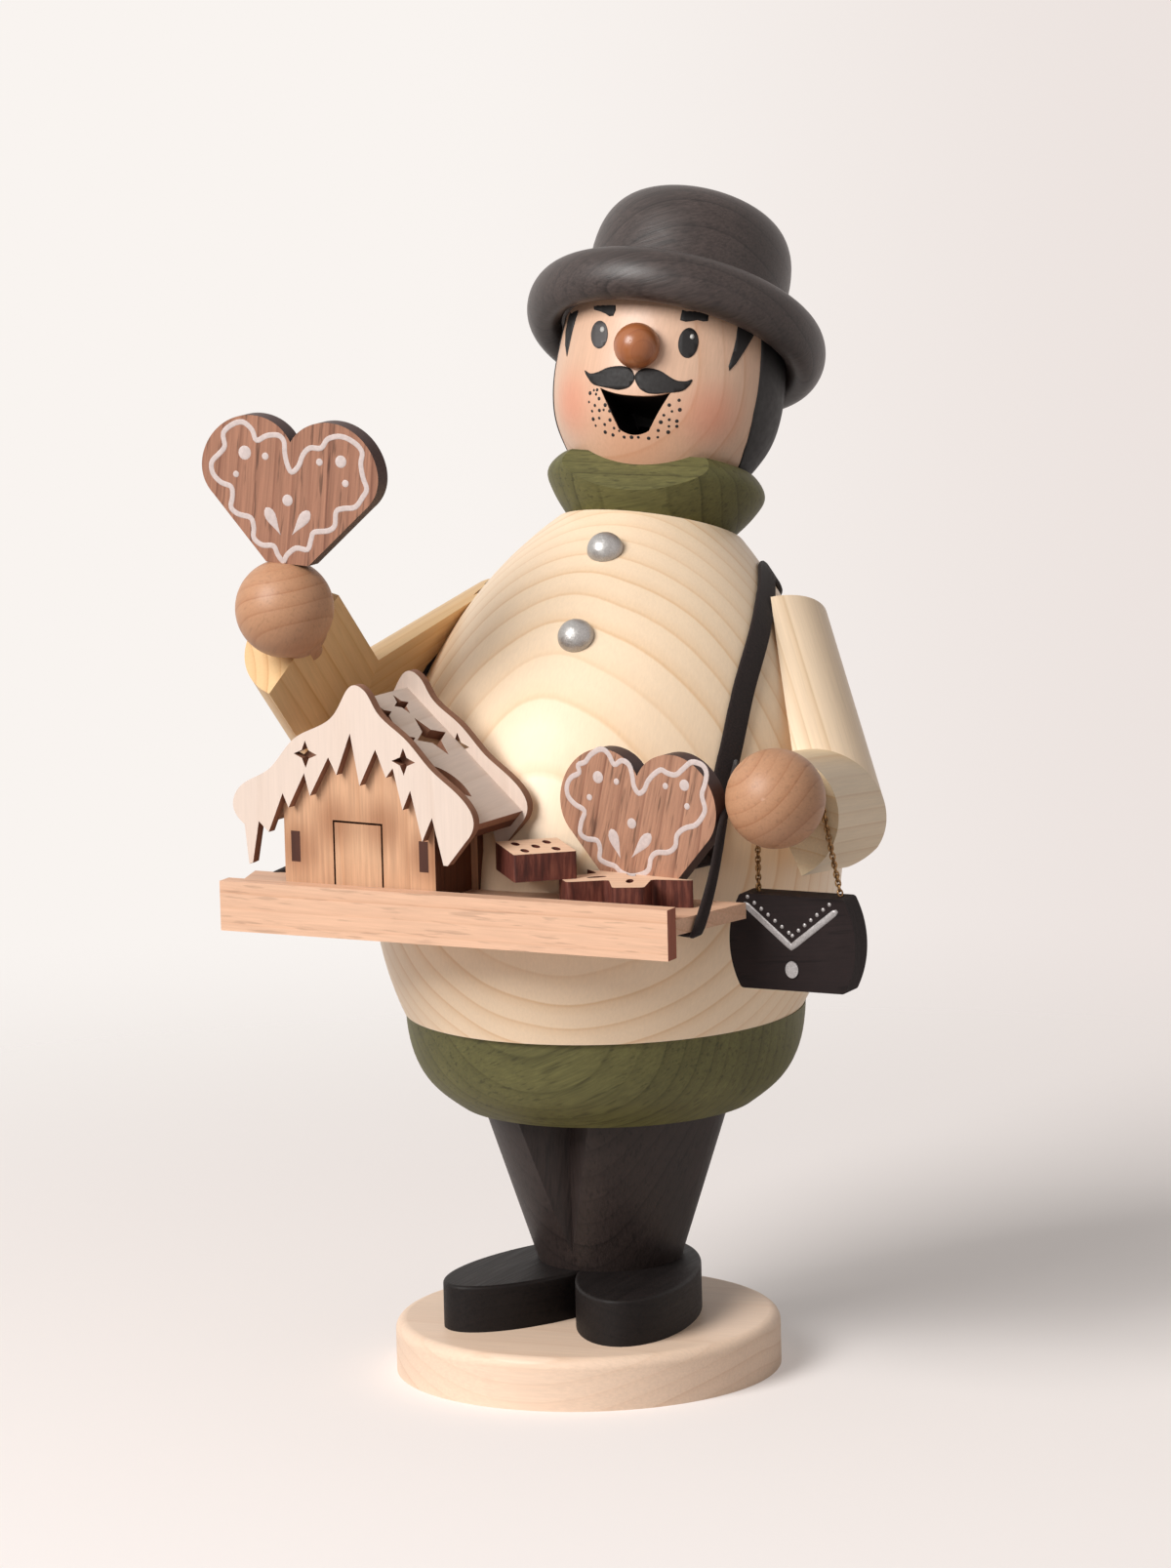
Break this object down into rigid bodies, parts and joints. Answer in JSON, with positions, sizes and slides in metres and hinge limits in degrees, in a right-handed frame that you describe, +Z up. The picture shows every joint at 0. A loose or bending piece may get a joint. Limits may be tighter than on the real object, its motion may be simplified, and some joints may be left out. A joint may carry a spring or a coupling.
{
  "type": "incense smoker figure",
  "caption": "Turned wooden incense smoker: a gingerbread seller with hat, tray, little house, hearts and purse; the figure lifts off its incense plate.",
  "frame": {"origin": "centre of the round base's underside, on the surface it stands on", "axes": "+Z up, the figure faces -Y, its left hand is towards +X"},
  "size_m": [0.1096, 0.1161, 0.1986],
  "materials": {
    "maple": "fine pale wood, clear matt varnish",
    "black_stain": "dark stained wood, satin",
    "green_stain": "olive green stained wood, satin",
    "plate_metal": "thin pressed metal",
    "spruce": "pale conifer wood with clear growth rings, matt varnish",
    "face_wood": "flesh-toned stained wood, satin varnish, painted face",
    "nose_paint": "orange-brown stained wood, gloss varnish",
    "hat_stain": "dark grey-brown stained wood, gloss varnish",
    "silver_paint": "silver paint",
    "hand_stain": "reddish-brown stained wood, gloss varnish",
    "walnut": "dark open-grained wood, satin",
    "beech": "pinkish wood with short flecks, matt",
    "gingerbread": "laser-cut wood with dark burnt sides",
    "plywood": "laser-cut thin plywood",
    "whitewashed_ply": "laser-cut thin plywood, thin white stain, burnt edges",
    "black_leather": "thin black leather",
    "black_paint": "black stained wood, satin",
    "chain_metal": "fine brass link chain, aged"
  },
  "bodies": {
    "stand": {"base_plate": "maple", "left_shoe": "black_stain", "right_shoe": "black_stain", "legs": "black_stain", "leg_dowel": "maple", "coat_hem": "green_stain", "incense_plate": "plate_metal", "incense_plate_pin": "plate_metal"},
    "figure": {"torso": "spruce", "collar": "green_stain", "head": "face_wood", "nose": "nose_paint", "hat": "hat_stain", "upper_button": "silver_paint", "lower_button": "silver_paint", "left_upper_arm": "spruce", "left_forearm": "spruce", "right_upper_arm": "spruce", "right_forearm": "spruce", "left_hand": "hand_stain", "right_hand": "hand_stain", "left_shoulder_dowel": "maple", "right_shoulder_dowel": "maple", "raised_heart": "walnut", "tray_heart": "walnut", "heart_peg": "maple", "tray_board": "beech", "tray_floor": "beech", "gingerbread_star": "gingerbread", "gingerbread_square": "gingerbread", "house_front_wall": "plywood", "house_back_wall": "plywood", "house_left_wall": "plywood", "house_right_wall": "plywood", "house_door": "plywood", "house_left_roof": "plywood", "house_right_roof": "plywood", "snow_left_roof": "whitewashed_ply", "snow_right_roof": "whitewashed_ply", "snow_front_gable": "whitewashed_ply", "snow_back_gable": "whitewashed_ply", "strap": "black_leather", "left_strap_end": "black_leather", "left_strap_tail": "black_leather", "right_strap_end": "black_leather", "right_strap_tail": "black_leather"},
    "purse": {"purse": "black_paint", "purse_clasp": "silver_paint", "purse_chain": "chain_metal"}
  },
  "joints": [
    {"name": "lift_off", "type": "slide", "parent": "stand", "child": "figure", "axis": [0, 0, 1], "range_m": [0, 0.045]},
    {"name": "purse_swing", "type": "hinge", "parent": "figure", "child": "purse", "pos_m": [0.04865, -0.01949, 0.10456], "axis": [0.1852, -0.9734, 0.1346], "range_deg": [-6, 25]}
  ]
}
